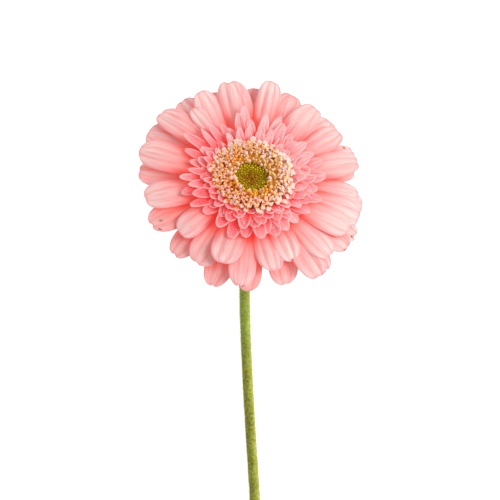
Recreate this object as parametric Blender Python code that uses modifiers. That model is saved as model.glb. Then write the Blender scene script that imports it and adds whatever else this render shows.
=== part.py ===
"""A cut gerbera lying on a flat surface: one bloom on a bare, bent stem.

Metres, +Z up. The origin is on the surface, under the middle of the flower's box. The stem lies
along -Y, and the bloom at its +Y end faces up and leans over, onto the tips of its farther petals.

The bloom is laid out in the head's own frame: +Z along the bloom's axis, out of its face, and the
origin in the middle of the receptacle's flat top. From the outside in it holds the involucre, the
large ray florets, the short inner ray florets, the open disc florets and the closed ones.
"""

import math
import random
from collections import namedtuple

import bmesh
import bpy
from mathutils import Matrix, Vector

MM = 0.001
GOLDEN_ANGLE = math.radians(137.508)

# Where the bloom sits. Its axis leans by HEAD_TILT from straight up, towards HEAD_LEAN from +X.
HEAD_CENTRE = Vector((0.3, 100.2, 22.0)) * MM
HEAD_TILT = math.radians(28.5)
HEAD_LEAN = math.radians(68)
TILT_AXIS = Vector((-math.sin(HEAD_LEAN), math.cos(HEAD_LEAN), 0))
HEAD_MATRIX = Matrix.Translation(HEAD_CENTRE) @ Matrix.Rotation(HEAD_TILT, 4, TILT_AXIS)
TO_HEAD = HEAD_MATRIX.inverted()

# Gap left between two nodes that touch on the real flower.
SEAM = 0.3 * MM

# Radii on the receptacle where one kind of floret gives way to the next.
CLOSED_FLORETS_OUT = 5.0 * MM
OPEN_FLORETS_OUT = 10.8 * MM
INNER_RAYS_OUT = 13.6 * MM
RECEPTACLE_RADIUS = 16.9 * MM

# Stem: one scape, a little stouter where it meets the bloom, and cut on a slant.
STEM_RADIUS = 2.25 * MM
STEM_TOP_RADIUS = 2.9 * MM
STEM_SIDES = 12
STEM_REACH = 250 * MM
CUT_SLANT = math.radians(35)
CALYX_DEPTH = 12.0 * MM

# Sideways place of the stem, in millimetres, at these distances from the head along -Y.
STEM_SWAY = ((28, -2.6), (60, -2.2), (100, -0.4), (140, 2.1), (200, 5.2), (255, 6.8))

# How a row's blades are bent, in degrees and millimetres. root is the radius and height where they
# start, rise their slope there and droop how far that slope turns down by the tip. claw is the
# root's share of the width, full the place of the full width and point how far the end draws in.
# edge lifts the two rims, and groove is the depth of two long furrows.
Bend = namedtuple("Bend", "root rise droop claw full point edge groove")

# The large petals, front row first: (turn from +X in degrees, reach from the axis, width).
RAYS = (
    (
        Bend((14.7, 2.6), 17.5, 28.0, 0.42, 0.68, 0.87, 0.7, 0.5),
        [
            (-167, 50, 13.5), (-143, 43, 12), (-110, 45, 14), (-82, 46, 12.5), (-65, 42, 11.5),
            (-46, 47.5, 13), (-28, 47.5, 13.5), (16, 48.5, 13), (33, 48, 13), (53, 48.5, 13.5),
            (78, 51.5, 11.5), (98, 50, 14.5), (116, 48.5, 13), (139, 51, 13), (166, 52.5, 12.5),
        ],
    ),
    (
        Bend((14.8, 1.75), 12.0, 27.0, 0.42, 0.68, 0.87, 0.6, 0.5),
        [
            (-154, 51, 13.5), (-124, 49.5, 13.5), (-99, 50, 13), (-59, 52, 13), (-37, 50.5, 13),
            (-15, 50.5, 13.5), (0, 50, 13.5), (24, 49.5, 9), (43, 49, 13), (66, 50.5, 13),
            (123, 50.5, 13.5), (150, 50.5, 13),
        ],
    ),
    (
        Bend((14.9, 0.9), 6.5, 28.0, 0.42, 0.68, 0.87, 0.5, 0.45),
        [
            (-164, 49, 10), (-137, 50, 13), (-110, 52.5, 13.5), (-90, 50.5, 13), (-71, 49, 13.5),
            (-48, 52, 13.5), (-25, 51.5, 13), (-7, 51.5, 13), (13, 50, 12), (84, 51, 13),
            (106, 50, 13), (129, 52, 10), (174, 50.5, 13.5),
        ],
    ),
)
RAY_GRID = (4, 4)
RAY_THICKNESS = 0.7 * MM
RAY_SEED = 11


def ring(count, turn, reach, width):
    """A full row of like blades, as a list of (turn, reach, width)."""
    return [(turn + index * 360 / count, reach, width) for index in range(count)]


INNER_RAYS = (
    (Bend((12.2, 3.6), 23.0, 15.0, 0.5, 0.6, 0.88, 0.35, 0.0), ring(22, 3, 34.0, 5.6)),
    (Bend((12.2, 4.2), 27.0, 15.0, 0.5, 0.6, 0.88, 0.35, 0.0), ring(22, 11, 30.0, 5.2)),
    (Bend((12.1, 4.8), 31.0, 15.0, 0.5, 0.6, 0.88, 0.35, 0.0), ring(22, 3, 25.5, 4.7)),
    (Bend((12.0, 5.4), 35.0, 13.0, 0.55, 0.6, 0.88, 0.3, 0.0), ring(20, 12, 21.0, 4.1)),
)
INNER_GRID = (2, 2)
INNER_THICKNESS = 0.6 * MM
INNER_SEED = 5

BRACTS = (
    (Bend((13.2, -5.0), 44.0, 42.0, 0.9, 0.35, 0.97, -0.2, 0.0), ring(16, 0, 21.5, 4.8)),
    (Bend((10.2, -8.2), 50.0, 20.0, 0.9, 0.35, 0.97, -0.2, 0.0), ring(14, 11, 17.0, 4.8)),
)
BRACT_GRID = (2, 2)
BRACT_THICKNESS = 0.8 * MM
BRACT_SEED = 3

# Blade, one petal or bract: its row's bend, its turn round the head in radians, its length and
# width in metres, and its own slopes in radians. sway bends it sideways, and twist turns its tip.
Blade = namedtuple("Blade", "bend turn length width rise droop sway twist")


def blades_of(rows, seed, scatter):
    """Every blade of these rows, each a little unlike its neighbours, the same ones each time.

    scatter is how far a blade may turn out of its row's even spacing, in degrees.
    """
    draw = random.Random(seed)
    blades = []
    for bend, places in rows:
        for turn, reach, width in places:
            spread = [draw.uniform(-1, 1) for _ in range(7)]
            rise = math.radians(bend.rise + 1.5 * spread[0])
            droop = math.radians(bend.droop * (1 + 0.14 * spread[1]))
            span = (math.sin(rise) - math.sin(rise - droop)) / droop
            length = (reach * (1 + 0.006 * scatter * spread[2]) - bend.root[0]) / span
            blades.append(
                Blade(
                    bend,
                    math.radians(turn + scatter * spread[3]),
                    length * MM,
                    width * (1 + 0.05 * spread[4]) * MM,
                    rise,
                    droop,
                    math.radians(4 * spread[5]),
                    math.radians(7 * spread[6]),
                )
            )
    return blades


def pressed_up(height, lowest, soft=1.2 * MM):
    """height, eased so that it never goes under lowest, as a petal bends where it meets a table."""
    above = height - lowest
    if above >= soft:
        return height
    if above <= -soft:
        return lowest
    return lowest + (above + soft) ** 2 / (4 * soft)


def blade_point(blade, across, along, lowest):
    """A point of a blade's middle surface in the head's frame, kept lowest above the table.

    across runs from -1 to 1, and along from 0 at the root to 1 at the tip.
    """
    bend = blade.bend
    closing = max(0.0, (along - bend.full) / (1 - bend.full))
    along -= 0.07 * (across * closing) ** 2
    swell = bend.claw + (1 - bend.claw) * math.sin(min(along / bend.full, 1) * math.pi / 2)
    half = blade.width / 2 * swell * math.sqrt(1 - (closing * bend.point) ** 2)

    slope = blade.rise - blade.droop * along
    reach = blade.length * (math.sin(blade.rise) - math.sin(slope)) / blade.droop
    climb = blade.length * (math.cos(slope) - math.cos(blade.rise)) / blade.droop
    furrow = math.exp(-(((abs(across) - 0.5) / 0.2) ** 2))
    lift = (bend.edge * across**2 - bend.groove * furrow) * math.sin(math.pi * along) * MM

    roll = blade.twist * along
    side, up = across * half * math.cos(roll), lift + across * half * math.sin(roll)
    side += blade.length * blade.sway * along**2
    radius = bend.root[0] * MM + reach - up * math.sin(slope)
    height = bend.root[1] * MM + climb + up * math.cos(slope)
    placed = HEAD_MATRIX @ Matrix.Rotation(blade.turn, 4, "Z") @ Vector((radius, -side, height))
    placed.z = pressed_up(placed.z, lowest)
    return TO_HEAD @ placed


def clear_scene():
    for old in list(bpy.data.objects):
        bpy.data.objects.remove(old, do_unlink=True)


def new_collection(name):
    collection = bpy.data.collections.new(name)
    bpy.context.scene.collection.children.link(collection)
    return collection


def new_material(name, colour, roughness):
    material = bpy.data.materials.new(name)
    material.use_nodes = True
    shader = material.node_tree.nodes["Principled BSDF"]
    shader.inputs["Base Color"].default_value = (*colour, 1)
    shader.inputs["Roughness"].default_value = roughness
    shader.inputs["Metallic"].default_value = 0
    material.diffuse_color = (*colour, 1)
    return material


def object_from(name, shape, collection):
    """A new object in collection whose mesh is the bmesh shape."""
    mesh = bpy.data.meshes.new(name)
    shape.to_mesh(mesh)
    shape.free()
    made = bpy.data.objects.new(name, mesh)
    collection.objects.link(made)
    return made


def add_blade(name, blade, grid, thickness, collection):
    """One petal or bract: a bent grid in triangles, thickened alike on both faces."""
    shape = bmesh.new()
    bmesh.ops.create_grid(shape, x_segments=grid[0], y_segments=grid[1], size=1)
    for corner in shape.verts:
        to_tip = (1 - corner.co.y) / 2
        corner.co = blade_point(blade, corner.co.x, 1 - to_tip**1.4, thickness / 2)
    bmesh.ops.triangulate(shape, faces=shape.faces)
    made = object_from(name, shape, collection)
    solid = made.modifiers.new("Thickness", "SOLIDIFY")
    solid.thickness = thickness
    solid.offset = 0
    return made


def add_turned(name, profile, steps, collection, closed=False):
    """A turned solid. profile lists (radius, height) down the outer side, and may close on itself."""
    shape = bmesh.new()
    corners = [shape.verts.new((radius, 0, height)) for radius, height in profile]
    ends = corners[1:] + corners[:1] if closed else corners[1:]
    for first, second in zip(corners, ends):
        shape.edges.new((first, second))
    made = object_from(name, shape, collection)
    screw = made.modifiers.new("Turn", "SCREW")
    screw.steps = steps
    screw.render_steps = steps
    screw.use_merge_vertices = True
    screw.merge_threshold = 0.00001
    screw.use_normal_calculate = True
    return made


def fuse(base, repeats):
    """Joins the collection repeats to base in one Boolean union, and removes its objects."""
    union = base.modifiers.new("Join", "BOOLEAN")
    union.operation = "UNION"
    union.solver = "EXACT"
    union.operand_type = "COLLECTION"
    union.collection = repeats
    graph = bpy.context.evaluated_depsgraph_get()
    joined = bpy.data.meshes.new_from_object(base.evaluated_get(graph))
    base.modifiers.clear()
    base.data = joined
    for used in list(repeats.objects):
        bpy.data.objects.remove(used, do_unlink=True)
    bpy.data.collections.remove(repeats)
    return base


def add_petals(name, blades, grid, thickness, hub, flower):
    """One whorl of petals: hub, a ring of fused floret bases, with every petal rooted in it."""
    petals = new_collection(name + " petals")
    for index, blade in enumerate(blades):
        add_blade(f"{name}_{index}", blade, grid, thickness, petals)
    return fuse(add_turned(name, hub, 24, flower, closed=True), petals)


def add_ray_florets(flower):
    """The large outer petals, in three rows."""
    inside, outside = INNER_RAYS_OUT + SEAM, RECEPTACLE_RADIUS
    hub = [(inside, 3.2 * MM), (outside - 0.8 * MM, 3.2 * MM), (outside, 2.4 * MM)]
    hub += [(outside, SEAM), (inside, SEAM)]
    blades = blades_of(RAYS, RAY_SEED, 0)
    return add_petals("ray_florets", blades, RAY_GRID, RAY_THICKNESS, hub, flower)


def add_inner_ray_florets(flower):
    """The short pointed petals between the large ones and the disc, in four rows."""
    inside, outside = OPEN_FLORETS_OUT + SEAM, INNER_RAYS_OUT
    hub = [(inside, 6.4 * MM), (outside - 1.0 * MM, 6.4 * MM), (outside, 4.2 * MM)]
    hub += [(outside, SEAM), (inside, SEAM)]
    blades = blades_of(INNER_RAYS, INNER_SEED, 2.4)
    return add_petals("inner_ray_florets", blades, INNER_GRID, INNER_THICKNESS, hub, flower)


def add_peg(name, foot, tip, foot_radius, tip_radius, sides, collection):
    """A small tapered floret from foot to tip."""
    axis = tip - foot
    turned = axis.to_track_quat("Z", "Y").to_matrix().to_4x4()
    shape = bmesh.new()
    bmesh.ops.create_cone(
        shape,
        cap_ends=True,
        segments=sides,
        radius1=foot_radius,
        radius2=tip_radius,
        depth=axis.length,
        matrix=Matrix.Translation((foot + tip) / 2) @ turned,
    )
    return object_from(name, shape, collection)


def add_open_disc_florets(flower):
    """The raised ring of open disc florets: small flared tubes on a core that they stand out of."""
    count, low, high = 96, 9.7 * MM, 18.0 * MM
    florets = new_collection("open floret tubes")
    draw = random.Random(21)
    for index in range(count):
        radius = math.sqrt(low**2 + (index + 0.5) / count * (high**2 - low**2))
        share = (radius - low) / (high - low)
        lean = math.radians(2 + 40 * share + draw.uniform(-5, 5))
        crown = (9.9 + 2.5 * math.sin(math.pi * (0.12 + 0.62 * share))) * MM
        turn = Matrix.Rotation(index * GOLDEN_ANGLE, 3, "Z")
        tip = turn @ Vector((radius, 0, crown + draw.uniform(-0.4, 0.4) * MM))
        down = turn @ Vector((-math.sin(lean), 0, -math.cos(lean)))
        add_peg(f"floret_{index}", tip + down * 3.0 * MM, tip, 0.65 * MM, 1.3 * MM, 4, florets)
    inside, outside = CLOSED_FLORETS_OUT + SEAM, OPEN_FLORETS_OUT
    core = [(8.4, 6.2), (8.7, 8.6), (12.0, 10.2), (15.2, 11.0), (16.4, 10.6), (15.6, 10.0)]
    core = [(radius * MM, height * MM) for radius, height in core]
    core += [(outside, 7.6 * MM), (outside, SEAM), (inside, SEAM), (inside, 4.8 * MM)]
    return fuse(add_turned("open_disc_florets", core, 20, flower, closed=True), florets)


def add_closed_disc_florets(flower):
    """The green eye: pointed floret buds in a spiral on a low dome."""
    count, eye = 50, 7.1 * MM
    buds = new_collection("floret buds")
    for index in range(count):
        radius = eye * math.sqrt((index + 0.5) / count)
        turn = Matrix.Rotation(index * GOLDEN_ANGLE, 3, "Z")
        lean = math.radians(16 * radius / eye)
        tip = turn @ Vector((radius, 0, (9.3 - 0.9 * (radius / eye) ** 2) * MM))
        down = turn @ Vector((-math.sin(lean), 0, -math.cos(lean)))
        add_peg(f"bud_{index}", tip + down * 2.4 * MM, tip, 0.8 * MM, 0.2 * MM, 4, buds)
    profile = [(0, 7.9), (4.0, 7.7), (7.0, 7.0), (7.9, 6.4)]
    profile = [(radius * MM, height * MM) for radius, height in profile]
    profile += [(CLOSED_FLORETS_OUT, 5.2 * MM), (CLOSED_FLORETS_OUT, SEAM), (0, SEAM)]
    return fuse(add_turned("closed_disc_florets", profile, 18, flower), buds)


def add_involucre(flower):
    """The green cup under the bloom, with the receptacle inside it and two rows of bracts."""
    bracts = new_collection("bracts")
    for index, blade in enumerate(blades_of(BRACTS, BRACT_SEED, 2.4)):
        add_blade(f"bract_{index}", blade, BRACT_GRID, BRACT_THICKNESS, bracts)
    rim = RECEPTACLE_RADIUS - 0.3 * MM
    cup = [(rim, 0), (rim, -1.2 * MM), (15.2 * MM, -4.4 * MM), (12.2 * MM, -7.6 * MM)]
    cup += [(8.4 * MM, -10.2 * MM), (5.2 * MM, -11.4 * MM), (3.2 * MM, -CALYX_DEPTH)]
    return fuse(add_turned("involucre", [(0, 0), *cup, (0, -CALYX_DEPTH)], 22, flower), bracts)


def smooth_through(pairs, place):
    """The value at place of a smooth curve through (place, value) pairs."""
    index = 0
    while index < len(pairs) - 2 and place > pairs[index + 1][0]:
        index += 1
    slopes = []
    for middle in (index, index + 1):
        low, high = pairs[max(middle - 1, 0)], pairs[min(middle + 1, len(pairs) - 1)]
        slopes.append((high[1] - low[1]) / (high[0] - low[0]))
    (start, first), (end, last) = pairs[index : index + 2]
    t = (place - start) / (end - start)
    value = first * (2 * t**3 - 3 * t**2 + 1) + last * (3 * t**2 - 2 * t**3)
    return value + (end - start) * (slopes[0] * (t**3 - 2 * t**2 + t) + slopes[1] * (t**3 - t**2))


def stem_route():
    """Points (centre, radius) down the stem: through the neck's bend, and then flat on the table."""
    lying = STEM_RADIUS * math.cos(math.pi / STEM_SIDES)
    top = HEAD_MATRIX @ Vector((0, 0, -CALYX_DEPTH - SEAM))
    down = -(HEAD_MATRIX.to_3x3() @ Vector((0, 0, 1)))
    start = HEAD_CENTRE + Vector((0, -STEM_SWAY[0][0], 0)) * MM
    start.x += STEM_SWAY[0][1] * MM
    start.z = lying
    handle = 0.39 * (start - top).length
    neck = top + down * MM
    controls = (neck, neck + down * handle, start + Vector((0, handle, 0)), start)
    route = [(top, STEM_TOP_RADIUS)]
    neck_steps, lying_steps = 9, 13
    for step in range(neck_steps + 1):
        t = step / neck_steps
        weights = ((1 - t) ** 3, 3 * t * (1 - t) ** 2, 3 * t**2 * (1 - t), t**3)
        place = sum((w * control for w, control in zip(weights, controls)), Vector())
        route.append((place, STEM_RADIUS + (1 - t) ** 2 * (STEM_TOP_RADIUS - STEM_RADIUS)))
    end = HEAD_CENTRE.y - STEM_REACH
    for step in range(1, lying_steps + 1):
        y = start.y + (end - start.y) * step / lying_steps
        sway = smooth_through(STEM_SWAY, (HEAD_CENTRE.y - y) / MM) * MM
        route.append((Vector((HEAD_CENTRE.x + sway, y, lying)), STEM_RADIUS))
    return route


def add_stem(flower):
    """The bare scape, cut off on a slant at its lower end."""
    curve = bpy.data.curves.new("stem line", "CURVE")
    curve.dimensions = "3D"
    curve.twist_mode = "Z_UP"
    curve.bevel_depth = 1
    curve.bevel_resolution = (STEM_SIDES - 4) // 2
    curve.use_fill_caps = True
    route = stem_route()
    spline = curve.splines.new("POLY")
    spline.points.add(len(route) - 1)
    for point, (place, radius) in zip(spline.points, route):
        point.co = (*place, 1)
        point.radius = radius
        point.tilt = math.pi / STEM_SIDES
    line = bpy.data.objects.new("stem line", curve)
    flower.objects.link(line)
    graph = bpy.context.evaluated_depsgraph_get()
    shape = bmesh.new()
    shape.from_mesh(bpy.data.meshes.new_from_object(line.evaluated_get(graph)))
    bpy.data.objects.remove(line, do_unlink=True)
    bmesh.ops.remove_doubles(shape, verts=shape.verts, dist=0.01 * MM)
    end = route[-1][0] + Vector((0, 4 * MM, 0))
    away = Vector((0, -math.cos(CUT_SLANT), math.sin(CUT_SLANT)))
    whole = shape.verts[:] + shape.edges[:] + shape.faces[:]
    cut = bmesh.ops.bisect_plane(shape, geom=whole, plane_co=end, plane_no=away, clear_outer=True)
    rim = [edge for edge in cut["geom_cut"] if isinstance(edge, bmesh.types.BMEdge)]
    bmesh.ops.holes_fill(shape, edges=rim, sides=0)
    bmesh.ops.recalc_face_normals(shape, faces=shape.faces)
    return object_from("stem", shape, flower)


def finish_node(made, material, head):
    """Gives a node its one material and soft shading, and hangs it on the head if it has one."""
    made.data.materials.clear()
    made.data.materials.append(material)
    made.data.shade_smooth()
    made.data.set_sharp_from_angle(angle=math.radians(40))
    made.parent = head


def main():
    clear_scene()
    flower = new_collection("Cut gerbera")
    pink = new_material("petal pink", (0.80, 0.33, 0.31), 0.55)
    deep_pink = new_material("inner petal pink", (0.78, 0.24, 0.24), 0.55)
    cream = new_material("floret cream", (0.80, 0.52, 0.33), 0.6)
    olive = new_material("bud olive", (0.24, 0.20, 0.02), 0.7)
    green = new_material("calyx green", (0.20, 0.27, 0.07), 0.65)
    stem_green = new_material("stem green", (0.28, 0.33, 0.08), 0.65)

    head = bpy.data.objects.new("head", None)
    flower.objects.link(head)
    head.matrix_world = HEAD_MATRIX
    finish_node(add_involucre(flower), green, head)
    finish_node(add_ray_florets(flower), pink, head)
    finish_node(add_inner_ray_florets(flower), deep_pink, head)
    finish_node(add_open_disc_florets(flower), cream, head)
    finish_node(add_closed_disc_florets(flower), olive, head)
    finish_node(add_stem(flower), stem_green, None)


main()
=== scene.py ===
import math
import random
from collections import namedtuple

import bmesh
import bpy
from mathutils import Matrix, Vector, noise


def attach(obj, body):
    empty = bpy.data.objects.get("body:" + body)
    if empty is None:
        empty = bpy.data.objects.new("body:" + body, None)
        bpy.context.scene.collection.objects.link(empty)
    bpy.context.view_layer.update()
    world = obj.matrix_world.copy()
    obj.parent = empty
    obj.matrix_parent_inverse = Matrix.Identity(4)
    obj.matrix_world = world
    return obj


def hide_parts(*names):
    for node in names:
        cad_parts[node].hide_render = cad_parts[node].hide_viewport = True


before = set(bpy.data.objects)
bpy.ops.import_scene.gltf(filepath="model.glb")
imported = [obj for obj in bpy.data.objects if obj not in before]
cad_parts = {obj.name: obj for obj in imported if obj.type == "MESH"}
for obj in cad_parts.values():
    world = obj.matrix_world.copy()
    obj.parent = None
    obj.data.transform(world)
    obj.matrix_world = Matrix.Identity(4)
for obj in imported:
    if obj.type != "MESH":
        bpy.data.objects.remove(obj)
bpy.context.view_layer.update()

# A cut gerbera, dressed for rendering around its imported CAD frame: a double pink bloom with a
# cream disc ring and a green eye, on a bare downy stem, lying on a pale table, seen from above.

MM = 0.001

# ---------------------------------------------------------------------------------------------
# Ray florets: the large strap-shaped petals, soft thin tissue with two long furrows, in three
# rows round a ring of fused floret bases. Each grew from its own floret, so no two are alike.
# The bloom leans over on the bent neck, and its farther petals press against the table.
# ---------------------------------------------------------------------------------------------

# The bloom's axis tips HEAD_TILT from upright, towards HEAD_LEAN, a turn from +X, as its solids do.
HEAD_CENTRE = Vector((0.3, 100.2, 22.0)) * MM
HEAD_TILT = math.radians(28.5)
HEAD_LEAN = math.radians(68)
TILT_AXIS = Vector((-math.sin(HEAD_LEAN), math.cos(HEAD_LEAN), 0))
HEAD_MATRIX = Matrix.Translation(HEAD_CENTRE) @ Matrix.Rotation(HEAD_TILT, 4, TILT_AXIS)

# Bend, how a row's blades are bent, in degrees and millimetres. root is the radius and height where
# they start, rise their slope there and droop how far that slope turns down by the tip. claw is the
# root's share of the width, and full the place of the full width. edge lifts the two rims, and
# groove is the depth of two long furrows.
Bend = namedtuple("Bend", "root rise droop claw full edge groove")

# The two furrows run this share of the half width off a petal's middle.
FURROW_PLACE = 0.36

# Front row first: (turn from +X in degrees, reach from the axis, width, shade, notch). shade runs
# from -1, deep coral, to 1, almost cream, partly the petal's own colour and partly painted light and
# shade, and notch is how deep the end is cut, in millimetres.
RAYS = (
    (
        Bend((14.7, 2.6), 17.5, 28.0, 0.42, 0.68, 0.7, 0.5),
        [
            (-167, 50, 13.5, 0.5, 0.3), (-143, 43, 12, 0.3, 0.0), (-110, 45, 14, 0.6, 0.3),
            (-82, 44.5, 12.5, 0.4, 0.0), (-65, 42, 11.5, 0.9, 0.2), (-46, 49, 13, 0.4, 0.3),
            (-28, 49, 13.5, 0.9, 0.0), (16, 50.5, 13, 0.6, 0.6), (33, 50.5, 13, 0.3, 0.5),
            (53, 50, 13.5, 0.7, 0.4), (78, 54.5, 11.5, 0.2, 0.0), (98, 52.3, 14.5, 0.7, 1.2),
            (119, 50, 13, 0.6, 0.3), (138, 53, 14, 0.3, 0.7), (165, 52.5, 14, 0.6, 0.0),
            (125, 43.5, 8.5, 0.6, 0.0),
        ],
    ),
    (
        Bend((14.8, 1.75), 12.0, 27.0, 0.42, 0.68, 0.6, 0.45),
        [
            (-154, 51, 13.5, -0.3, 0.9), (-124, 48, 13.5, 0.2, 0.6), (-99, 51.5, 13, 0.3, 0.8),
            (-59, 53.5, 13, 0.2, 0.5), (-37, 52.5, 13, 0.2, 0.4), (-17, 52, 13.5, 0.9, 0.3),
            (-1, 50.5, 11.5, 0.1, 0.2), (24, 53, 9, -0.3, 0.8), (43, 52.3, 13, 0.4, 0.5),
            (66, 53, 13, 0.1, 0.2), (127, 52.5, 13.5, 0.2, 0.7), (148, 52.5, 15.5, 0.6, 0.3),
        ],
    ),
    (
        Bend((14.9, 0.9), 6.5, 28.0, 0.42, 0.68, 0.5, 0.4),
        [
            (-164, 43.5, 10, 0.1, 1.4), (-137, 50, 13, 0.4, 0.8), (-110, 52.5, 13.5, 0.0, 0.6),
            (-92, 50.5, 11.5, -0.2, 0.4), (-69, 49, 13.5, -0.4, 0.6), (-48, 52, 13.5, -0.1, 0.9),
            (-25, 53.5, 13, 0.1, 1.4), (-8, 53.5, 14.5, 0.6, 0.3), (11, 51.5, 10, -1.4, 0.8),
            (84, 54.5, 13, 0.1, 0.2), (106, 51.5, 13, -0.1, 0.4), (134, 54.5, 14.5, -0.2, 0.9),
            (174, 50.5, 13.5, 0.9, 0.5),
        ],
    ),
)

# Blade, one petal or bract: its row's bend, its turn round the head in radians, its length and
# width in metres, and its own slopes in radians. sway bends it sideways, and twist turns its tip.
Blade = namedtuple("Blade", "bend turn length width rise droop sway twist")


def blades_of(rows, seed, scatter):
    """Every blade of these rows, each a little unlike the next, and the same ones each time.

    scatter is how many degrees a blade may be off its place, and varies the lengths with it.
    """
    draw = random.Random(seed)
    blades = []
    for bend, places in rows:
        for turn, reach, width, *_ in places:
            spread = [draw.uniform(-1, 1) for _ in range(7)]
            rise = math.radians(bend.rise + 1.5 * spread[0])
            droop = math.radians(bend.droop * (1 + 0.14 * spread[1]))
            span = (math.sin(rise) - math.sin(rise - droop)) / droop
            length = (reach * (1 + 0.006 * scatter * spread[2]) - bend.root[0]) / span
            blades.append(
                Blade(
                    bend,
                    math.radians(turn + scatter * spread[3]),
                    length * MM,
                    width * (1 + 0.05 * spread[4]) * MM,
                    rise,
                    droop,
                    math.radians(4 * spread[5]),
                    math.radians(7 * spread[6]),
                )
            )
    return blades


# Form, what makes one blade unlike another: how far its end draws in, how deep the end is notched
# and where across it, how much of the row's edge and groove it has, the ripple of its rims in
# millimetres, how its tip curls up or down in millimetres, a phase of its own, and how much nearer
# the tip than in its row it is widest.
Form = namedtuple("Form", "point notch notch_at edge groove ripple curl phase wider")


def pressed_up(height, lowest, soft=1.2 * MM):
    """height, kept above lowest, as a petal bends where it meets a table.

    It starts to bend this soft height above lowest.
    """
    above = height - lowest
    if above >= soft:
        return height
    if above <= -soft:
        return lowest
    return lowest + (above + soft) ** 2 / (4 * soft)


def blade_point(blade, form, across, along, lowest):
    """A point of a blade's middle surface. across runs from -1 to 1, along from root 0 to tip 1."""
    # The outline widens from the claw to its full width, and then closes to a rounded, notched end.
    bend = blade.bend
    full = bend.full + form.wider
    closing = max(0.0, (along - full) / (1 - full))
    swell = bend.claw + (1 - bend.claw) * math.sin(min(along / full, 1) * math.pi / 2)
    half = blade.width / 2 * swell * math.sqrt(1 - (closing * form.point) ** 2.6)
    cut = form.notch * MM / blade.length * math.exp(-(((across - form.notch_at) / 0.3) ** 2))
    along -= 0.02 * (across * closing) ** 2 + cut * closing**4

    # The middle line bends over at an even rate. reach and climb are how far out and up it has got.
    slope = blade.rise - blade.droop * along
    reach = blade.length * (math.sin(blade.rise) - math.sin(slope)) / blade.droop
    climb = blade.length * (math.cos(slope) - math.cos(blade.rise)) / blade.droop

    # Off that line stand the lifted rims, the furrows between fine pleats, the rims' ripple and the
    # curled tip. Furrows and pleats fade out at the root and get shallower towards the tip.
    arch = math.sin(math.pi * max(along, 0))
    fold = min(1, max(along, 0) / 0.3) * min(1, 0.3 + (1 - along) / 0.35)
    off_middle = abs(across + 0.06 * math.sin(form.phase))
    furrow = math.exp(-(((off_middle - FURROW_PLACE) / 0.15) ** 2))
    pleats = 0.18 * math.sin(11 * across + 3 * form.phase) * form.groove
    lift = (bend.edge * form.edge * across**2 * arch) * MM
    lift -= bend.groove * (form.groove * furrow + pleats) * fold * MM
    wave = math.sin(along * 11 + form.phase) + 0.6 * math.sin(along * 23 - 2 * form.phase)
    lift += form.ripple * MM * across * abs(across) * wave * along**2
    lift += form.curl * MM * max(0.0, (along - 0.6) / 0.4) ** 2

    # The blade rolls about its length, sways sideways and is set on the leaning head.
    roll = blade.twist * along
    side, up = across * half * math.cos(roll), lift + across * half * math.sin(roll)
    side += blade.length * blade.sway * along**2
    radius = bend.root[0] * MM + reach - up * math.sin(slope)
    height = bend.root[1] * MM + climb + up * math.cos(slope)
    placed = HEAD_MATRIX @ Matrix.Rotation(blade.turn, 4, "Z") @ Vector((radius, -side, height))
    placed.z = pressed_up(placed.z, lowest)
    return placed


def add_blade(shape, blade, form, grid, thickness, tone, scorched=()):
    """Adds one petal's middle surface to shape: a grid, bent, with its own layers for its colour.

    Its rows lie closer together towards the tip, where the outline turns. scorched lists brown
    spots, each by its place across and along and its radius in millimetres.
    """
    made = bmesh.ops.create_grid(shape, x_segments=grid[0], y_segments=grid[1], size=1)
    layers = shape.verts.layers.float
    for corner in made["verts"]:
        across, to_tip = corner.co.x, (1 - corner.co.y) / 2
        along = 1 - to_tip**1.4
        corner[layers["across"]] = across
        corner[layers["along"]] = along
        corner[layers["tone"]] = tone
        for at_across, at_along, radius in scorched:
            off = math.hypot(
                (across - at_across) * blade.width / 2, (along - at_along) * blade.length
            )
            corner[layers["scorch"]] += math.exp(-((off / MM / radius) ** 2))
        corner.co = blade_point(blade, form, across, along, thickness / 2)


def new_shape(*layers):
    """An empty bmesh with these named numbers on its vertices."""
    shape = bmesh.new()
    for name in layers:
        shape.verts.layers.float.new(name)
    return shape


def finished(name, shape, materials, smooth=True):
    """The piece made from shape, wearing materials and riding on the flower's one body."""
    mesh = bpy.data.meshes.new(name)
    shape.to_mesh(mesh)
    shape.free()
    if smooth:
        mesh.shade_smooth()
    piece = bpy.data.objects.new(name, mesh)
    bpy.context.scene.collection.objects.link(piece)
    for material in materials:
        mesh.materials.append(material)
    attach(piece, "root")
    return piece


def thicken(piece, thickness, under=0):
    """Gives a sheet its thickness, half to each side. under is the back's place in the materials."""
    wall = piece.modifiers.new("Thickness", "SOLIDIFY")
    wall.thickness = thickness
    wall.offset = 0
    wall.material_offset = under


def linear(code):
    """A hex colour in sRGB as the linear colour that a shader takes."""
    parts = [int(code[place : place + 2], 16) / 255 for place in (1, 3, 5)]
    return (*[c / 12.92 if c <= 0.04045 else ((c + 0.055) / 1.055) ** 2.4 for c in parts], 1.0)


def new_material(name):
    """A new material, still one plain shader."""
    material = bpy.data.materials.new(name)
    material.use_nodes = True
    return material


def set_inputs(material, node, inputs):
    """Sets these inputs of a node, each to another node's output or to a value."""
    for name, value in inputs.items():
        if isinstance(value, bpy.types.NodeSocket):
            material.node_tree.links.new(value, node.inputs[name])
        else:
            node.inputs[name].default_value = value


def add_node(material, kind, inputs, output=0, stops=(), **settings):
    """Adds a shader node with its inputs and settings, and gives one of its outputs.

    stops fills a colour ramp, from (place, hex colour) pairs.
    """
    node = material.node_tree.nodes.new("ShaderNode" + kind)
    for name, value in settings.items():
        setattr(node, name, value)
    set_inputs(material, node, inputs)
    if stops:
        elements = node.color_ramp.elements
        while len(elements) < len(stops):
            elements.new(0.5)
        for element, (position, code) in zip(elements, stops):
            element.position = position
            element.color = linear(code)
    return node.outputs[output]


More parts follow.
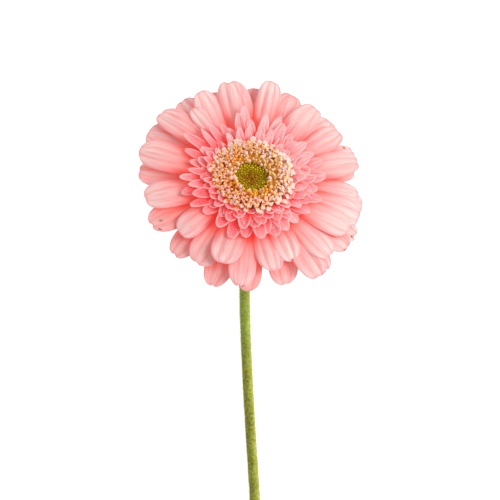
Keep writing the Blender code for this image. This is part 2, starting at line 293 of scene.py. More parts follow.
def painted(material, base, paint, *ranges):
    """The colour base with the colour paint over it, as thick as the product of ranges.

    Each range is (value, low, high, least, most), and goes from least to most while its value goes
    from low to high, eased at both ends.
    """
    share = 1.0
    for value, low, high, least, most in ranges:
        ends = {"Value": value, "From Min": low, "From Max": high, "To Min": least, "To Max": most}
        eased = add_node(material, "MapRange", ends, interpolation_type="SMOOTHSTEP")
        share = add_node(material, "Math", {0: share, 1: eased}, operation="MULTIPLY")
    colours = {"Factor": share, "A": base, "B": paint}
    return add_node(material, "Mix", colours, "Result", data_type="RGBA")


# The numbers that each point of a petal has for its material: its place across and along, how pale
# its petal is, partly its own colour and partly painted light and shade, and how bruised it is
# itself.
PETAL_LAYERS = ("across", "along", "tone", "scorch")
# A petal's streaks are this many times as long as they are wide.
STREAK_STRETCH = 17


def petal_tissue(name, stops, vein, rim, size, deepest, furrow=0.0, speckle=0.0, glow=0.26):
    """Petal tissue: a thin, moist, slightly velvety skin over watery cells, lit through a little.

    stops is its colour from root to tip, vein the colour of its fine streaks, and size the petal's
    width and length in millimetres, for the scale of those. rim is (where the margin starts, its
    colour, where the very edge starts, its colour, a painted highlight), and deepest the colour that
    petals deep in the bloom and on the shaded side are painted, partly their own colour and partly
    painted shade. furrow is how much painted shade deepens two furrows, speckle how grainy its cells
    look, and glow how strong a painted glow of its own is, at its root and where petals shut it in,
    standing in for light that comes through.
    """
    material = new_material(name)
    across, along, tone, burnt = (
        add_node(material, "Attribute", {}, "Fac", attribute_name=layer)
        for layer in PETAL_LAYERS
    )

    # Streaks some 0.7 mm apart and 12 mm long, and blotches four times as large. Both are measured
    # along the petal's own surface, and are different in each petal.
    spot = add_node(material, "CombineXYZ", {"X": across, "Y": along, "Z": tone})
    stretched = {0: spot, 1: (size[0] / 2, size[1] / STREAK_STRETCH, 40.0)}
    spot = add_node(material, "VectorMath", stretched, operation="MULTIPLY")
    fine = {"Vector": spot, "Scale": 1.4, "Detail": 3.0, "Roughness": 0.6}
    streaks = add_node(material, "TexNoise", fine)
    blotches = add_node(material, "TexNoise", {"Vector": spot, "Scale": 0.35, "Detail": 2.0})

    # The colour runs from root to tip, a little sooner or later in each petal and each patch.
    patch = add_node(material, "Math", {0: blotches, 1: 0.24, 2: -0.12}, operation="MULTIPLY_ADD")
    place = add_node(material, "Math", {0: along, 1: patch}, operation="ADD")
    place = add_node(material, "Math", {0: tone, 1: 0.2, 2: place}, operation="MULTIPLY_ADD")
    colour = add_node(material, "ValToRGB", {"Fac": place}, stops=stops)
    colour = painted(material, colour, linear(vein), (streaks, 0.46, 0.7, 0.0, 0.75))

    # Pale petals, and those on the sunny side, are painted paler towards their ends: partly their own
    # colour and partly painted light. Petals deep in the bloom, and those on the shaded side, are
    # painted
    # another shade, but for their ends: partly their own colour and partly painted shade. The bottom
    # of each furrow is painted deeper, as painted shade.
    pale_and_lit_ends = (tone, 0.25, 1.0, 0.0, 0.5)
    colour = painted(material, colour, linear(stops[-1][1]), pale_and_lit_ends, (along, 0.35, 0.75, 0.0, 1.0))
    deep_and_shaded = (tone, 0.0, -0.6, 0.0, 0.85)
    colour = painted(material, colour, linear(deepest), deep_and_shaded, (along, 0.97, 0.6, 0.3, 1.0))
    side = add_node(material, "Math", {0: across}, operation="ABSOLUTE")
    off = add_node(material, "Math", {0: side, 1: FURROW_PLACE}, operation="SUBTRACT")
    off = add_node(material, "Math", {0: off}, operation="ABSOLUTE")
    colour = painted(material, colour, linear(vein), (off, 0.2, 0.0, 0.0, furrow))

    # Painted shade: the sides, towards the root, lie under other petals, and are painted red, the
    # colour of the light through them.
    root_red = linear(stops[1][1])
    shaded_under_petals = (side, 0.45, 1.0, 0.0, 0.85)
    colour = painted(material, colour, root_red, shaded_under_petals, (along, 0.85, 0.4, 0.0, 1.0))

    # The rim, and then its very edge, a pale painted highlight broken into patches, at the sides and
    # round the end.
    end = add_node(material, "Math", {0: along, 1: 6.0, 2: -5.0}, operation="MULTIPLY_ADD")
    margin = add_node(material, "Math", {0: side, 1: end}, operation="MAXIMUM")
    tipward = (along, 0.4, 0.9, 0.2, 1.0)
    edge_highlight_patches = (blotches, 0.35, 0.62, 0.35, 1.0)
    colour = painted(material, colour, linear(rim[1]), (margin, rim[0], 1.0, 0.0, 0.75), tipward)
    colour = painted(
        material, colour, linear(rim[3]), (margin, rim[2], 1.0, 0.0, 0.9), edge_highlight_patches, tipward
    )

    # sky is how open a spot is, 8 mm about. Painted shade: a shut-in spot is painted red, as light
    # that reaches it has come through other petals.
    air = {"Distance": 8.0 * MM}
    sky = add_node(material, "AmbientOcclusion", air, "AO", samples=8)
    colour = painted(material, colour, root_red, (sky, 0.8, 0.2, 0.0, 0.5))

    # Cells, drawn some ten times as coarse as real ones so that they show, and bruised spots.
    if speckle:
        where = add_node(material, "TexCoord", {}, "Object")
        cells = {"Vector": where, "Scale": 1 / (0.45 * MM), "Detail": 1.0}
        grain = add_node(material, "TexNoise", cells)
        colour = painted(material, colour, linear("#FBD6CF"), (grain, 0.5, 0.75, 0.0, speckle))
    colour = painted(material, colour, linear("#8A5A3A"), (burnt, 0.15, 0.8, 0.0, 1.0))

    # A painted glow: the root glows red, and spots shut in by other petals glow in the petal's
    # colour, standing in for light that shines through and fills the shade.
    through = painted(material, linear("#000000"), linear("#FF3A24"), (along, 0.85, 0.2, 0.0, 0.6))
    through = painted(material, through, colour, (sky, 0.9, 0.2, 0.0, 0.65))
    relief = {"Height": streaks, "Strength": 0.55, "Distance": 0.25 * MM}
    inputs = {
        "Base Color": colour,
        "Emission Color": through,
        "Emission Strength": glow,
        "Normal": add_node(material, "Bump", relief),
        "Roughness": 0.5,
        "Specular IOR Level": 0.3,
        "Subsurface Weight": 0.25,
        "Subsurface Radius": (1.0, 0.8, 0.8),
        "Subsurface Scale": 0.5 * MM,
    }
    set_inputs(material, material.node_tree.nodes["Principled BSDF"], inputs)
    return material


RAY_THICKNESS = 0.42 * MM
# Petal faces look soft and matt, salmon pink and finely streaked, from fiery roots to pale rims.
RAY_TOP = petal_tissue(
    "gerbera petal face",
    (
        (0.0, "#FF2612"), (0.22, "#FD442E"), (0.4, "#FB7264"), (0.58, "#EFA6A2"),
        (0.78, "#EEBCB8"), (1.0, "#F0D0CA"),
    ),
    vein="#F4868A",
    rim=(0.68, "#F49CA2", 0.95, "#F8CECA"),
    size=(13, 36),
    deepest="#F96A4E",
    furrow=0.35,
)
# Their backs are plainer and paler, and let hardly any light through.
RAY_BACK = petal_tissue(
    "gerbera petal back",
    ((0.0, "#E8A08E"), (0.3, "#EEA69A"), (0.6, "#EEB0A8"), (0.85, "#EEBEB6"), (1.0, "#EECAC2")),
    vein="#E8968E",
    rim=(0.8, "#F0AEA8", 0.95, "#F6CEC8"),
    size=(13, 36),
    deepest="#EE9484",
    glow=0.05,
)

# Small brown spots where petals' ends have been bruised, as add_blade takes them, by petal's turn.
SCORCHED = {
    -154: ((-0.1, 0.86, 0.8), (-0.75, 0.93, 0.8)),
    -37: ((0.5, 0.99, 0.9),),
    -65: ((0.0, 1.0, 1.0),),
    -25: ((0.3, 0.95, 1.0), (0.0, 0.99, 0.7)),
    -99: ((-0.4, 0.99, 0.7),),
    11: ((0.2, 0.99, 0.8),),
    24: ((0.5, 1.0, 0.6), (-0.6, 0.9, 0.8)),
    43: ((0.2, 1.0, 0.6),),
    127: ((-0.3, 0.99, 0.5),),
    134: ((0.3, 1.0, 0.7),),
    138: ((-0.4, 1.0, 0.6),),
}

RAY_GRID = (18, 26)
rays = new_shape(*PETAL_LAYERS)
ray_mood = random.Random(4)
ray_rows = [(row, place) for row, (_, places) in enumerate(RAYS) for place in places]
for blade, (row, (turn, _, _, shade, notch)) in zip(blades_of(RAYS, 11, 0), ray_rows):
    form = Form(
        point=ray_mood.uniform(0.86, 0.95),
        notch=notch,
        notch_at=ray_mood.uniform(-0.25, 0.25),
        edge=ray_mood.uniform(-2.6, 0.4),
        groove=ray_mood.uniform(0.3, 1.6),
        ripple=ray_mood.uniform(0.1, 0.5),
        curl=ray_mood.uniform(-1.5, 0.6),
        phase=ray_mood.uniform(0, 6.3),
        wider=ray_mood.uniform(-0.04, 0.08),
    )
    # Painted light: petals on the right, towards the lamp, are painted paler. Each row is deeper in
    # colour than the one before it, partly its own colour and partly painted shade under the rows
    # above.
    sunny = 0.25 * math.cos(math.radians(turn - 20))
    tone = 0.23 + 0.45 * shade - 0.18 * row + sunny + ray_mood.uniform(-0.1, 0.1)
    add_blade(rays, blade, form, RAY_GRID, RAY_THICKNESS, tone, SCORCHED.get(turn, ()))
ray_florets = finished("ray_floret_petals", rays, (RAY_TOP, RAY_BACK))
thicken(ray_florets, RAY_THICKNESS, under=1)
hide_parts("ray_florets")

# ---------------------------------------------------------------------------------------------
# Inner ray florets: short pointed petals, cupped like scales, in five rows that rise towards the
# disc. They are deeper pink than the large ones at their roots, with a thin pale rim.
# ---------------------------------------------------------------------------------------------


def ring(count, turn, reach, width):
    """A full row of like blades, as a list of (turn, reach, width)."""
    return [(turn + index * 360 / count, reach, width) for index in range(count)]


INNER_RAYS = (
    (Bend((12.2, 3.6), 23.0, 15.0, 0.5, 0.55, 0.5, 0.3), ring(28, 3, 34.0, 6.4)),
    (Bend((12.2, 4.2), 27.0, 15.0, 0.5, 0.55, 0.5, 0.3), ring(28, 11, 30.0, 6.2)),
    (Bend((12.1, 4.8), 31.0, 15.0, 0.5, 0.55, 0.5, 0.3), ring(28, 3, 26.5, 5.8)),
    (Bend((12.0, 5.4), 35.0, 13.0, 0.55, 0.55, 0.45, 0.25), ring(26, 12, 23.0, 5.0)),
    (Bend((12.4, 5.8), 38.0, 12.0, 0.55, 0.55, 0.45, 0.25), ring(28, 5, 20.6, 4.2)),
)
INNER_THICKNESS = 0.36 * MM
# The side of the bloom that light falls on, in degrees from +X. Colours are painted paler on this
# side and a deeper red on the other, as painted light and shade.
SUNNY_SIDE = 40
# Inner faces are a clearer pink with a grainy shimmer, drawn sharply by thin, almost white rims, a
# painted highlight.
INNER_TOP = petal_tissue(
    "gerbera inner petal face",
    (
        (0.0, "#F81610"), (0.4, "#FA2C2A"), (0.6, "#FA666A"), (0.78, "#F89A9E"),
        (0.92, "#F8B2B4"), (1.0, "#F8C6C4"),
    ),
    vein="#F6626C",
    rim=(0.6, "#F8AAAE", 0.84, "#FBDAD6"),
    size=(5, 18),
    deepest="#FA5860",
    furrow=0.5,
    speckle=0.35,
)
# Their backs are an even, lighter pink, which shows where tips stand up.
INNER_BACK = petal_tissue(
    "gerbera inner petal back",
    ((0.0, "#F87C74"), (0.3, "#F8908A"), (0.6, "#F8A49E"), (0.85, "#F7B4AE"), (1.0, "#F6C2BC")),
    vein="#F4837C",
    rim=(0.7, "#F8B4AC", 0.86, "#FBDCD4"),
    size=(5, 18),
    deepest="#F8908C",
    glow=0.05,
)

INNER_GRID = (8, 14)
inner = new_shape(*PETAL_LAYERS)
inner_mood = random.Random(9)
for blade in blades_of(INNER_RAYS, 5, 2.4):
    form = Form(
        point=inner_mood.uniform(0.93, 0.985),
        notch=inner_mood.choice((0, 0, 0.3, 0.7)),
        notch_at=inner_mood.uniform(-0.3, 0.3),
        edge=inner_mood.uniform(0.2, 2.2),
        groove=inner_mood.uniform(0.4, 1.4),
        ripple=inner_mood.uniform(0, 0.3),
        curl=inner_mood.uniform(-0.9, 0.9),
        phase=inner_mood.uniform(0, 6.3),
        wider=inner_mood.uniform(-0.08, 0.1),
    )
    # On the bloom's lower side, towards the stem, they are broader and shorter.
    near = math.cos(blade.turn + math.radians(50))
    slim = inner_mood.uniform(0.72, 0.98) + 0.24 * near
    longer = 0.93 - 0.05 * near + inner_mood.uniform(-1, 1) * (0.14 - 0.05 * near)
    longer -= 0.09 * max(0.0, math.cos(blade.turn + math.radians(95)))
    blade = blade._replace(
        width=blade.width * slim,
        length=blade.length * longer,
        twist=blade.twist * 2.2,
        rise=blade.rise + math.radians(inner_mood.uniform(-4, 4)),
    )
    # Painted light: petals towards the lamp are painted paler, and those away from it deeper.
    sunny = 0.66 * math.cos(blade.turn - math.radians(SUNNY_SIDE))
    tone = 0.07 + sunny + inner_mood.uniform(-0.3, 0.4)
    add_blade(inner, blade, form, INNER_GRID, INNER_THICKNESS, tone)
inner_ray_florets = finished("inner_ray_floret_petals", inner, (INNER_TOP, INNER_BACK))
thicken(inner_ray_florets, INNER_THICKNESS, under=1)
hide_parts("inner_ray_florets")

# ---------------------------------------------------------------------------------------------
# Open disc florets: a raised ring of small open flowers. Each has a tube sunk in the dark ring,
# pale lobes that curl over its mouth, and an orange column of anthers that stands out of it.
# ---------------------------------------------------------------------------------------------

GOLDEN_ANGLE = math.radians(137.508)
# The disc sits a little off the bloom's middle, and isn't quite round.
DISC_MATRIX = HEAD_MATRIX @ Matrix.Translation(Vector((-1.1, -0.6, 0)) * MM)
DISC_MATRIX @= Matrix.Diagonal((1.03, 0.99, 1, 1))


def plant_tissue(
    name, stops, roughness, subsurface, bump=0.1, grain=0.8, mottle=0.15, glow="", fresh=""
):
    """Small plant parts, a firm waxy skin. Their colour runs along the vertex number along.

    bump is the height of their grain and grain its size, in millimetres, coarser than real grain
    so that it shows, and mottle is how far it moves the colour. glow is the colour of a painted glow
    of their own at their roots, standing in for the light that comes through them, and fresh the
    colour that the vertex number fresh turns them to.
    """
    material = new_material(name)
    along = add_node(material, "Attribute", {}, "Fac", attribute_name="along")
    where = add_node(material, "TexCoord", {}, "Object")
    grains = {"Vector": where, "Scale": 1 / (grain * MM), "Detail": 2.0}
    rough = add_node(material, "TexNoise", grains)
    half = mottle / 2
    ends = {"Value": rough, "From Min": 0.3, "From Max": 0.7, "To Min": -half, "To Max": half}
    moved = add_node(material, "MapRange", ends, interpolation_type="SMOOTHSTEP")
    place = add_node(material, "Math", {0: along, 1: moved}, operation="ADD")
    colour = add_node(material, "ValToRGB", {"Fac": place}, stops=stops)
    if fresh:
        young = add_node(material, "Attribute", {}, "Fac", attribute_name="fresh")
        colours = {"Factor": young, "A": colour, "B": linear(fresh)}
        colour = add_node(material, "Mix", colours, "Result", data_type="RGBA")
    relief = {"Height": rough, "Strength": 0.4, "Distance": bump * MM}
    inputs = {
        "Base Color": colour,
        "Normal": add_node(material, "Bump", relief),
        "Roughness": roughness,
        "Specular IOR Level": 0.15,
        "Subsurface Weight": subsurface,
        "Subsurface Radius": (1.0, 0.5, 0.3),
        "Subsurface Scale": 0.6 * MM,
    }
    if glow:
        rooted = (along, 0.1, 0.9, 1.0, 0.0)
        inputs["Emission Color"] = painted(material, linear("#000000"), linear(glow), rooted)
        inputs["Emission Strength"] = 0.3
    set_inputs(material, material.node_tree.nodes["Principled BSDF"], inputs)
    return material


# Lobes are thin and satiny, creamy pink, painted paler where they stand in the light, and orange at
# their foot, partly their own colour and partly painted shade, with a painted orange glow there.
LOBE = plant_tissue(
    "disc floret lobe",
    ((0.0, "#D84A12"), (0.25, "#F09450"), (0.5, "#F8D2C0"), (1.0, "#F8DCD4")),
    roughness=0.5,
    subsurface=0.2,
    glow="#B04A20",
)
# Tubes look waxy, golden at the mouth and dark red lower down, partly their own colour and partly
# painted shade in the gaps between them, with a painted red glow at their foot.
TUBE = plant_tissue(
    "disc floret tube",
    ((0.0, "#7A100A"), (0.15, "#A03010"), (0.35, "#DE9A28"), (0.7, "#FCC04C"), (1.0, "#FDDC98")),
    roughness=0.55,
    subsurface=0.15,
    glow="#A03408",
)
# Anthers are dry and powdery, a strong orange with pale yellow tips, and a painted orange glow at
# their foot.
ANTHER = plant_tissue(
    "orange anther",
    ((0.0, "#E08818"), (0.4, "#FAB636"), (0.75, "#FED05A"), (1.0, "#FEE4A4")),
    roughness=0.6,
    subsurface=0.1,
    glow="#C05A08",
)


def spun(profile, steps, matrix):
    """A turned skin from (radius, height, along) points in millimetres, along being its layer."""
    shape = new_shape("along")
    corners = []
    for radius, height, along in profile:
        corners.append(shape.verts.new((radius * MM, 0, height * MM)))
        corners[-1][shape.verts.layers.float["along"]] = along
    edges = [shape.edges.new(pair) for pair in zip(corners, corners[1:])]
    bmesh.ops.spin(
        shape,
        geom=corners + edges,
        axis=(0, 0, 1),
        cent=(0, 0, 0),
        angle=2 * math.pi,
        steps=steps,
        use_merge=True,
        use_duplicate=False,
    )
    bmesh.ops.remove_doubles(shape, verts=shape.verts, dist=0.001 * MM)
    bmesh.ops.recalc_face_normals(shape, faces=shape.faces)
    bmesh.ops.transform(shape, matrix=matrix, verts=shape.verts)
    return shape


def add_peg(shape, matrix, radii, depth, sides, tones):
    """Adds a tapered peg whose foot is at matrix's origin.

    radii are those of its foot and tip, in millimetres, and tones the along layer at each.
    """
    made = bmesh.ops.create_cone(
        shape,
        cap_ends=True,
        segments=sides,
        radius1=radii[0] * MM,
        radius2=radii[1] * MM,
        depth=depth * MM,
        matrix=matrix @ Matrix.Translation((0, 0, depth * MM / 2)),
    )
    back = matrix.inverted()
    for corner in made["verts"]:
        share = (back @ corner.co).z / (depth * MM)
        corner[shape.verts.layers.float["along"]] = tones[0] + (tones[1] - tones[0]) * share


def add_lobe(shape, matrix, width, length, curl, tone):
    """Adds one pale lobe at a floret's mouth: a small strap that curls over, away from the axis.

    Its width and length are in millimetres, and curl is how many degrees it has turned by its end.
    """
    made = bmesh.ops.create_grid(shape, x_segments=3, y_segments=5, size=1)
    for corner in made["verts"]:
        across, along = corner.co.x, (corner.co.y + 1) / 2
        half = width / 2 * (0.65 + 0.5 * math.sin(math.pi * (0.15 + 0.75 * along)))
        half *= math.sqrt(1 - 0.9 * max(0.0, (along - 0.55) / 0.45) ** 2)
        bend = math.radians(curl) * along
        out = length / math.radians(curl) * (1 - math.cos(bend))
        up = length / math.radians(curl) * math.sin(bend)
        lift = 0.3 * across**2
        corner[shape.verts.layers.float["along"]] = tone - 0.12 + 0.9 * along
        corner.co = matrix @ (
            Vector((0.55 + out - lift * math.cos(bend), across * half, up + lift * math.sin(bend)))
            * MM
        )


def add_cap(shape, matrix, radius, height, tone):
    """Adds the rounded tip of a floret that is still shut, its sizes in millimetres."""
    stand = matrix @ Matrix.Diagonal((radius, radius, height, 1))
    made = bmesh.ops.create_uvsphere(shape, u_segments=7, v_segments=5, radius=MM, matrix=stand)
    for corner in made["verts"]:
        corner[shape.verts.layers.float["along"]] = tone


# The outline of the disc's body, down its inner wall, out underneath and back over the top, as
# (radius, height, along).
CORE = (
    (5.3, 4.8, 0.45), (5.3, 0.3, 0.1), (10.8, 0.3, 0.1), (10.8, 7.6, 0.1), (15.6, 10.0, 0.1),
    (16.4, 10.4, 0.0), (15.4, 10.8, 0.0), (13.6, 10.7, 0.08), (12.0, 10.1, 0.25),
    (10.2, 9.3, 0.4), (8.9, 8.5, 0.45), (8.4, 6.2, 0.45), (5.3, 4.8, 0.45),
)
tubes = spun(CORE, 72, DISC_MATRIX)
from_disc = DISC_MATRIX.inverted()
# Painted light: the disc's body is painted paler on the side the lamp lights.
for corner in tubes.verts:
    place = from_disc @ corner.co
    lit = math.cos(math.atan2(place.y, place.x) - math.radians(SUNNY_SIDE))
    corner[tubes.verts.layers.float["along"]] += 0.1 * lit
LOBE_THICKNESS = 0.2 * MM
# The radii of foot and tip, in millimetres.
EARLY_TUBE = (0.55, 0.62)
EARLY_ANTHER = (0.5, 0.38)
OPEN_TUBE = (0.55, 0.75)
OPEN_ANTHER = (0.48, 0.38)
FLORET_SIDES = 6
lobes = new_shape("along")
caps = new_shape("along")
anthers = new_shape("along")
open_mood = random.Random(21)

# The innermost florets, three deep, are only opening. They lean over the eye, most at its sides, and
# some carry a pale bud and some a column of anthers on an orange tube.
EARLY_COUNT = 81
for index in range(EARLY_COUNT):
    outer = index % 3 / 2
    turn = index * 360 / EARLY_COUNT + open_mood.uniform(-2.5, 2.5)
    lean = -(10 + 14 * abs(math.cos(math.radians(turn)))) * (1 - 0.6 * outer)
    foot = (
        DISC_MATRIX
        @ Matrix.Rotation(math.radians(turn), 4, "Z")
        @ Matrix.Translation(Vector((8.9 + 2.2 * outer, 0, 7.0 + 0.6 * outer)) * MM)
        @ Matrix.Rotation(math.radians(lean + open_mood.uniform(-16, 12)), 4, "Y")
        @ Matrix.Rotation(math.radians(open_mood.uniform(-10, 10)), 4, "X")
    )
    tall = 2.9 + 1.6 * outer + open_mood.uniform(-0.5, 0.6)
    shady = 0.5 - 0.5 * math.cos(math.radians(turn - SUNNY_SIDE))
    # Painted light and shade: florets on the lit side are painted paler, and those on the far side
    # darker.
    tones = (0.6 - 0.55 * shady, 1.15 - 0.8 * shady)
    add_peg(tubes, foot, EARLY_TUBE, tall, FLORET_SIDES, tones)
    top = foot @ Matrix.Translation(Vector((0, 0, tall)) * MM)
    if open_mood.random() < 0.42 - 0.3 * outer + 0.28 * shady:
        size = open_mood.uniform(0.55, 1.0)
        tone = open_mood.uniform(0.7, 1.0) - 0.2 * shady
        add_cap(caps, top, size, height=1.4, tone=tone)
    else:
        tones = (0.35 - 0.25 * shady, 1.1 - 0.7 * shady)
        add_peg(anthers, top, EARLY_ANTHER, 1.7, FLORET_SIDES, tones)

# Outside them the open florets fill the ring evenly, in a spiral, and lean out more and more. Each
# has one large lobe, turned outwards, and two small ones, all smaller in the shade. Tubes, lobes and
# anthers are painted redder and darker on the shaded side, as painted shade.
OPEN_COUNT = 120
RING_INSIDE = 11.2
RING_OUTSIDE = 17.6
for index in range(OPEN_COUNT):
    share = (index + 0.5) / OPEN_COUNT
    radius = math.sqrt(RING_INSIDE**2 + share * (RING_OUTSIDE**2 - RING_INSIDE**2))
    share = (radius - RING_INSIDE) / (RING_OUTSIDE - RING_INSIDE)
    lean = -2 + 46 * share + open_mood.uniform(-9, 9)
    crown = 10.9 + 1.4 * math.sin(math.pi * (0.15 + 0.72 * share)) + open_mood.uniform(-0.5, 0.5)
    foot = (
        DISC_MATRIX
        @ Matrix.Rotation(index * GOLDEN_ANGLE + math.radians(open_mood.uniform(-3, 3)), 4, "Z")
        @ Matrix.Translation(Vector((radius, 0, crown)) * MM)
        @ Matrix.Rotation(math.radians(lean), 4, "Y")
        @ Matrix.Rotation(math.radians(open_mood.uniform(-15, 15)), 4, "X")
        @ Matrix.Translation(Vector((0, 0, -3.0)) * MM)
    )
    mouth = foot @ Matrix.Translation(Vector((0, 0, 2.2)) * MM)
    # The 2 degrees more keep one lobe from being folded quite flat.
    shady = 0.5 - 0.5 * math.cos(index * GOLDEN_ANGLE - math.radians(SUNNY_SIDE + 2))
    bright = 0.75 + 0.4 * open_mood.random() - 0.65 * shady
    add_peg(tubes, foot, OPEN_TUBE, 2.3, FLORET_SIDES, (0.3 - 0.3 * shady, bright))
    large = (0.65 + 0.5 * share) * (1.1 - 0.3 * shady)
    swirl = open_mood.uniform(-50, 50)
    for turn, width, length in ((0, 1.9, 3.0), (140, 0.9, 2.3), (220, 0.9, 2.3)):
        wide = large * width * open_mood.uniform(0.8, 1.15)
        long = large * length * open_mood.uniform(0.75, 1.15)
        facing = Matrix.Rotation(math.radians(turn + swirl + open_mood.uniform(-20, 20)), 4, "Z")
        curl = open_mood.uniform(95, 165)
        add_lobe(lobes, mouth @ facing, wide, long, curl, tone=0.42 - 0.34 * shady)
    if open_mood.random() < 1.2 - 0.7 * share:
        bent = Matrix.Rotation(math.radians(open_mood.uniform(-24, 24)), 4, "Y")
        tall = 1.0 + (0.6 + 2.6 * (1 - share)) * open_mood.random()
        tip = 0.6 + 0.5 * open_mood.random() - 0.35 * shady
        add_peg(anthers, mouth @ bent, OPEN_ANTHER, tall, FLORET_SIDES, (0.15, tip))
open_tubes = finished("open_floret_tubes", tubes, (TUBE,))
open_lobes = finished("open_floret_lobes", lobes, (LOBE,))
thicken(open_lobes, LOBE_THICKNESS)
open_caps = finished("open_floret_caps", caps, (LOBE,))
open_anthers = finished("open_floret_anthers", anthers, (ANTHER,))
for piece in (open_tubes, open_lobes, open_caps, open_anthers):
    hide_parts("open_disc_florets")

# ---------------------------------------------------------------------------------------------
# Closed disc florets: the green eye, a spiral of tight floret buds on a low dome. The youngest,
# in the very middle, are brown.
# ---------------------------------------------------------------------------------------------

EYE_RADIUS = 8.0
EYE_HEIGHT = 8.6
BUD_COUNT = 130
BUD_RADIUS = 0.46
# Buds look firm and plump, yellowish olive with a dull gloss, and rusty brown where youngest.
BUD = plant_tissue(
    "green floret bud",
    ((0.0, "#8A4604"), (0.25, "#A46E06"), (0.5, "#A8980C"), (0.8, "#C6B61C"), (1.0, "#ECD43C")),
    roughness=0.55,
    subsurface=0.15,
    mottle=0.35,
    grain=0.6,
)
# The outline of the dome they stand on, from the top round to the bottom, as (radius, height, along).
DOME = (
    (0, 8.4, 0.1), (4.0, 8.3, 0.3), (7.2, 8.0, 0.45), (8.2, 7.0, 0.45), (5.0, 5.2, 0.3),
    (5.0, 0.3, 0.3), (0, 0.3, 0.3),
)
buds = spun(DOME, 40, DISC_MATRIX)
bud_mood = random.Random(8)
for index in range(BUD_COUNT):
    share = math.sqrt((index + 0.5) / BUD_COUNT)
    radius = EYE_RADIUS * share
    stand = (
        DISC_MATRIX
        @ Matrix.Rotation(index * GOLDEN_ANGLE + bud_mood.uniform(-0.06, 0.06), 4, "Z")
        @ Matrix.Translation(Vector((radius + bud_mood.uniform(-0.2, 0.2), 0, EYE_HEIGHT)) * MM)
        @ Matrix.Translation((0, 0, (bud_mood.uniform(-0.25, 0.3) - 0.5 * share**2) * MM))
        @ Matrix.Rotation(math.radians(bud_mood.uniform(-20, 20)), 4, "Y")
        @ Matrix.Diagonal((BUD_RADIUS, BUD_RADIUS, 0.6 + 0.3 * share, 1))
    )
    made = bmesh.ops.create_uvsphere(buds, u_segments=6, v_segments=5, radius=MM, matrix=stand)
    back = stand.inverted()
    tone = 0.12 + 0.64 * share + bud_mood.uniform(-0.2, 0.3)
    for corner in made["verts"]:
        height = (back @ corner.co).z / MM
        corner[buds.verts.layers.float["along"]] = tone + 0.3 * height * share
closed_disc_florets = finished("closed_floret_buds", buds, (BUD,))
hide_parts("closed_disc_florets")

# ---------------------------------------------------------------------------------------------
# Involucre: the green cup that carries the bloom, and its pointed bracts, which overlap like roof
# tiles from the stem to the rim. They are downy and dull green, with darker tips.
# ---------------------------------------------------------------------------------------------

BRACTS = (
    (Bend((13.2, -5.0), 44.0, 42.0, 0.9, 0.35, -0.3, 0.0), ring(16, 0, 21.5, 4.8)),
    (Bend((10.2, -8.2), 50.0, 20.0, 0.9, 0.35, -0.3, 0.0), ring(14, 11, 17.0, 4.8)),
    (Bend((7.4, -11.4), 25.0, -36.0, 0.9, 0.35, 0.5, 0.0), ring(16, 0, 15.8, 4.2)),
    (Bend((3.6, -12.5), 12.0, -34.0, 0.9, 0.35, 0.5, 0.0), ring(12, 9, 12.4, 3.8)),
    (Bend((3.0, -12.8), 10.0, -20.0, 0.9, 0.35, 0.5, 0.0), ring(8, 0, 8.4, 3.4)),
)
BRACT_THICKNESS = 0.6 * MM
# The calyx is dull and downy, leaf green with brownish tips.
CALYX = plant_tissue(
    "green calyx skin",
    ((0.0, "#5E7A34"), (0.4, "#76943F"), (0.75, "#92AC5A"), (0.9, "#8C9456"), (1.0, "#7C5E48")),
    roughness=0.62,
    subsurface=0.15,
    bump=0.15,
    grain=1.2,
)
# The cup's outline, from under the florets down to the stem, as (radius, height, along).
CUP = (
    (0, 0, 0.2), (16.6, 0, 0.2), (16.6, -1.2, 0.2), (15.2, -4.4, 0.25), (12.2, -7.6, 0.3),
    (8.4, -10.2, 0.35), (5.2, -11.4, 0.4), (3.2, -12.0, 0.4), (0, -12.0, 0.4),
)
calyx = spun(CUP, 64, HEAD_MATRIX)
involucre_cup = finished("involucre_cup", calyx, (CALYX,))
BRACT_GRID = (6, 10)
bracts = new_shape("across", "along", "tone")
bract_mood = random.Random(6)
for blade in blades_of(BRACTS, 3, 2.4):
    form = Form(
        point=0.99,
        notch=0,
        notch_at=0,
        edge=1.0,
        groove=0,
        ripple=bract_mood.uniform(0, 0.2),
        curl=0.3,
        phase=bract_mood.uniform(0, 6.3),
        wider=0,
    )
    add_blade(bracts, blade, form, BRACT_GRID, BRACT_THICKNESS, tone=0.5)
involucre_bracts = finished("involucre_bracts", bracts, (CALYX,))
thicken(involucre_bracts, BRACT_THICKNESS)
for piece in (involucre_cup, involucre_bracts):
    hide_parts("involucre")

# ---------------------------------------------------------------------------------------------
# Stem: one leafless scape, soft and downy, faintly ribbed, cut on a slant. It bends under the
# bloom and lies on the table.
# ---------------------------------------------------------------------------------------------

STEM_RADIUS = 2.25 * MM
STEM_TOP_RADIUS = 2.9 * MM
# The solid stem has this many sides and lies on one of them, which sets how high its axis is.
STEM_SIDES = 12
STEM_REACH = 250 * MM
CUT_SLANT = math.radians(35)
CALYX_DEPTH = 12.0 * MM
# The stem starts this far under the cup, where bracts hide it.
SEAM = 0.3 * MM
# How far the lying stem is off the bloom's middle line, in millimetres: (below the bloom, sideways).
STEM_SWAY = ((28, -2.6), (60, -2.2), (100, -0.4), (140, 2.1), (200, 5.2), (255, 6.8))
# The stem's skin is dull olive green, mottled, painted paler on the lamp's side as painted light, and
# fresher by the bloom.
STEM_SKIN = plant_tissue(
    "green stem skin",
    ((0.0, "#6E6E0C"), (0.35, "#8C9024"), (0.65, "#A8AE46"), (1.0, "#D0D294")),
    roughness=0.6,
    subsurface=0.08,
    bump=0.3,
    grain=1.0,
    mottle=0.5,
    fresh="#86B850",
)
# Down gives the stem a soft, light bloom along its edges.
DOWN = plant_tissue(
    "pale plant down", ((0.0, "#A4A85C"), (1.0, "#E4E6B0")), roughness=0.7, subsurface=0.0
)


